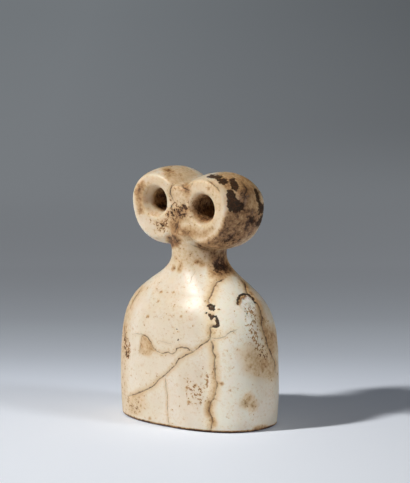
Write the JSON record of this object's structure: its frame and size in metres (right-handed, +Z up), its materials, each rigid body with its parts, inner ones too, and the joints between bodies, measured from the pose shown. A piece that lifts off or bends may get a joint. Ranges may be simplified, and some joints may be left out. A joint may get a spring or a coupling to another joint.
{
  "type": "eye idol",
  "caption": "Carved stone idol with a bell-shaped body on a flat foot, a short neck and a head of large ring-shaped eyes bored through from front to back.",
  "frame": {"origin": "centre of the foot's underside, on the surface that the idol stands on", "axes": "+Z up from the foot to the head, the eyes look along -Y, +X across the shoulders to the right as seen from the front"},
  "size_m": [0.0662, 0.0424, 0.095],
  "materials": {
    "pale_stone": "polished cream stone with brown veins, stains and worn edges"
  },
  "bodies": {
    "root": {"eye_idol": "pale_stone"}
  },
  "joints": []
}
